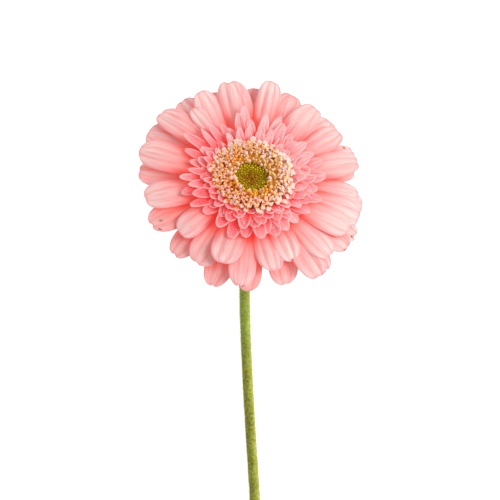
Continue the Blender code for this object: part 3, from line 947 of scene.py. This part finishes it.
def smooth_through(pairs, place):
    """The value at place of a smooth curve through (place, value) pairs."""
    index = 0
    while index < len(pairs) - 2 and place > pairs[index + 1][0]:
        index += 1
    slopes = []
    for middle in (index, index + 1):
        low, high = pairs[max(middle - 1, 0)], pairs[min(middle + 1, len(pairs) - 1)]
        slopes.append((high[1] - low[1]) / (high[0] - low[0]))
    (start, first), (end, last) = pairs[index : index + 2]
    t = (place - start) / (end - start)
    value = first * (2 * t**3 - 3 * t**2 + 1) + last * (3 * t**2 - 2 * t**3)
    return value + (end - start) * (slopes[0] * (t**3 - 2 * t**2 + t) + slopes[1] * (t**3 - t**2))


def stem_route(neck_steps, lying_steps):
    """Points (centre, radius) down the stem: through the neck's bend, and then flat on the table."""
    lying = STEM_RADIUS * math.cos(math.pi / STEM_SIDES)
    top = HEAD_MATRIX @ Vector((0, 0, -CALYX_DEPTH - SEAM))
    down = -(HEAD_MATRIX.to_3x3() @ Vector((0, 0, 1)))
    start = HEAD_CENTRE + Vector((0, -STEM_SWAY[0][0], 0)) * MM
    start.x += STEM_SWAY[0][1] * MM
    start.z = lying
    handle = 0.39 * (start - top).length
    neck = top + down * MM
    controls = (neck, neck + down * handle, start + Vector((0, handle, 0)), start)
    route = [(top, STEM_TOP_RADIUS)]
    for step in range(neck_steps + 1):
        t = step / neck_steps
        weights = ((1 - t) ** 3, 3 * t * (1 - t) ** 2, 3 * t**2 * (1 - t), t**3)
        place = sum((w * control for w, control in zip(weights, controls)), Vector())
        route.append((place, STEM_RADIUS + (1 - t) ** 2 * (STEM_TOP_RADIUS - STEM_RADIUS)))
    end = HEAD_CENTRE.y - STEM_REACH
    for step in range(1, lying_steps + 1):
        y = start.y + (end - start.y) * step / lying_steps
        sway = smooth_through(STEM_SWAY, (HEAD_CENTRE.y - y) / MM) * MM
        route.append((Vector((HEAD_CENTRE.x + sway, y, lying)), STEM_RADIUS))
    return route


def stem_frames(route):
    """For each point of the route, its centre, radius, and two unit vectors across the stem."""
    frames = []
    for index, (place, radius) in enumerate(route):
        before, after = route[max(index - 1, 0)][0], route[min(index + 1, len(route) - 1)][0]
        ahead = (after - before).normalized()
        side = Vector((1, 0, 0))
        side = (side - ahead * side.dot(ahead)).normalized()
        frames.append((place, radius, side, ahead.cross(side)))
    return frames


# The skin is a sheet rolled round the route, with faint ribs and slow swellings, and doesn't go
# below the table. It is fresher green down to FRESH_REACH millimetres from the bloom's middle, which
# fades over the last FRESH_FADE of them.
STEM_AROUND = 32
RIB_COUNT = 8
FRESH_REACH = 85
FRESH_FADE = 30
frames = stem_frames(stem_route(neck_steps=30, lying_steps=230))
skin = new_shape("along", "fresh")
made = bmesh.ops.create_grid(skin, x_segments=STEM_AROUND, y_segments=len(frames) - 1, size=1)
for corner in made["verts"]:
    angle = math.pi * corner.co.x
    centre, radius, side, up = frames[round((corner.co.y + 1) / 2 * (len(frames) - 1))]
    out = math.cos(angle) * side + math.sin(angle) * up
    place = centre + radius * out
    rib = 0.018 * math.cos(RIB_COUNT * angle + 0.03 * centre.y / MM)
    lump = noise.noise(place / (7 * MM))
    swelling = 0.05 * lump + 0.02 * noise.noise(place / (3 * MM))
    # Painted light: the skin is paler on its right, the side the lamp is on.
    corner[skin.verts.layers.float["along"]] = 0.42 + 0.15 * lump + 0.36 * math.cos(angle + 0.3)
    below = (HEAD_CENTRE.y - centre.y) / MM
    young = max(0.0, min(1.0, (FRESH_REACH - below) / FRESH_FADE))
    corner[skin.verts.layers.float["fresh"]] = 0.45 * young
    corner.co = centre + radius * (1.03 + rib + swelling) * out
    corner.co.z = max(corner.co.z, 0.02 * MM)
bmesh.ops.remove_doubles(skin, verts=skin.verts, dist=0.01 * MM)
ends = [edge for edge in skin.edges if edge.is_boundary]
bmesh.ops.holes_fill(skin, edges=ends, sides=0)

# The lower end is cut off on a slant. Inside a narrow rim, the pith has dried in a little.
CUT_OFF = 4 * MM
RIM_WIDTH = 0.35 * MM
PITH_DEPTH = 0.1 * MM
cut_place = frames[-1][0] + Vector((0, CUT_OFF, 0))
cut_facing = Vector((0, -math.cos(CUT_SLANT), math.sin(CUT_SLANT)))
cut = bmesh.ops.bisect_plane(
    skin,
    geom=skin.verts[:] + skin.edges[:] + skin.faces[:],
    plane_co=cut_place,
    plane_no=cut_facing,
    clear_outer=True,
)
cut_rim = [part for part in cut["geom_cut"] if isinstance(part, bmesh.types.BMEdge)]
pith = bmesh.ops.holes_fill(skin, edges=cut_rim, sides=0)["faces"]
bmesh.ops.recalc_face_normals(skin, faces=skin.faces)
bmesh.ops.inset_region(skin, faces=pith, thickness=RIM_WIDTH, depth=-PITH_DEPTH)
for corner in {corner for face in pith for corner in face.verts}:
    corner[skin.verts.layers.float["along"]] = 1.0
stem = finished("stem_skin", skin, (STEM_SKIN,))
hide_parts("stem")

# Each hair is drawn some three times as thick as a real one, so that it can be seen at all. They
# are made a tuft at a time, because an operator slows down as its mesh grows, and none grow on the
# last few steps of the route, which are cut off.
HAIR = (0.075, 0.02)
TUFTS = 40
HAIRS_IN_TUFT = 200
CUT_STEPS = 6
hairs = new_shape("along")
hair_mood = random.Random(2)
for _ in range(TUFTS):
    tuft = new_shape("along")
    for _ in range(HAIRS_IN_TUFT):
        centre, radius, side, up = frames[int(hair_mood.random() * (len(frames) - CUT_STEPS))]
        angle = hair_mood.uniform(-0.5, math.pi + 0.5)
        out = math.cos(angle) * side + math.sin(angle) * up
        slide = side.cross(up) * hair_mood.uniform(-1, 1) * MM
        tilt = Vector([hair_mood.uniform(-0.8, 0.8) for _ in range(3)])
        aim = (out + tilt).normalized().to_track_quat("Z", "Y").to_matrix().to_4x4()
        root = Matrix.Translation(centre + slide + out * radius * 0.97) @ aim
        add_peg(tuft, root, HAIR, hair_mood.uniform(0.5, 1.0), 3, (0.1, 1.0))
    tuft_mesh = bpy.data.meshes.new("tuft")
    tuft.to_mesh(tuft_mesh)
    tuft.free()
    hairs.from_mesh(tuft_mesh)
    bpy.data.meshes.remove(tuft_mesh)
stem_down = finished("stem_down", hairs, (DOWN,), smooth=False)
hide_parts("stem")

# ---------------------------------------------------------------------------------------------
# The table is finished in matt white lacquer, bright enough to show hardly any shadow. Light comes
# softly from all round and from one large lamp, and the camera looks straight down.
# ---------------------------------------------------------------------------------------------

table_material = new_material("matt white lacquer")
lacquer = {
    "Base Color": linear("#F6F6F6"),
    "Roughness": 0.9,
    "Emission Color": (1.0, 1.0, 1.0, 1.0),
    "Emission Strength": 0.7,
    "Specular IOR Level": 0.1,
}
set_inputs(table_material, table_material.node_tree.nodes["Principled BSDF"], lacquer)
table_shape = bmesh.new()
bmesh.ops.create_grid(table_shape, x_segments=1, y_segments=1, size=3)
table_mesh = bpy.data.meshes.new("table")
table_shape.to_mesh(table_mesh)
table_shape.free()
table = bpy.data.objects.new("table", table_mesh)
table_mesh.materials.append(table_material)
bpy.context.scene.collection.objects.link(table)

world = bpy.data.worlds.new("soft studio")
bpy.context.scene.world = world
world.use_nodes = True
background = world.node_tree.nodes["Background"]
background.inputs["Color"].default_value = (1.0, 1.0, 1.0, 1.0)
background.inputs["Strength"].default_value = 0.63

# A square lamp on the right, aimed down at the bloom.
softbox = bpy.data.lights.new("key softbox", "AREA")
softbox.shape = "SQUARE"
softbox.size = 0.8
softbox.energy = 13.0
lamp = bpy.data.objects.new("key softbox", softbox)
lamp.location = (1.05, 0.35, 0.95)
aim = Vector((0, 0.08, 0)) - lamp.location
lamp.rotation_euler = aim.to_track_quat("-Z", "Y").to_euler()
bpy.context.scene.collection.objects.link(lamp)

# The picture's middle is BELOW_BLOOM from the bloom's, towards the stem.
CAMERA_HEIGHT = 1.1
VIEW_WIDTH = 225 * MM
BELOW_BLOOM = 28.8 * MM
camera = bpy.data.cameras.new("camera")
camera.sensor_width = 36
camera.lens = camera.sensor_width * CAMERA_HEIGHT / VIEW_WIDTH
viewer = bpy.data.objects.new("camera", camera)
viewer.location = HEAD_CENTRE + Vector((0, -BELOW_BLOOM, CAMERA_HEIGHT))
bpy.context.scene.collection.objects.link(viewer)
bpy.context.scene.camera = viewer
bpy.context.scene.view_settings.view_transform = "Standard"
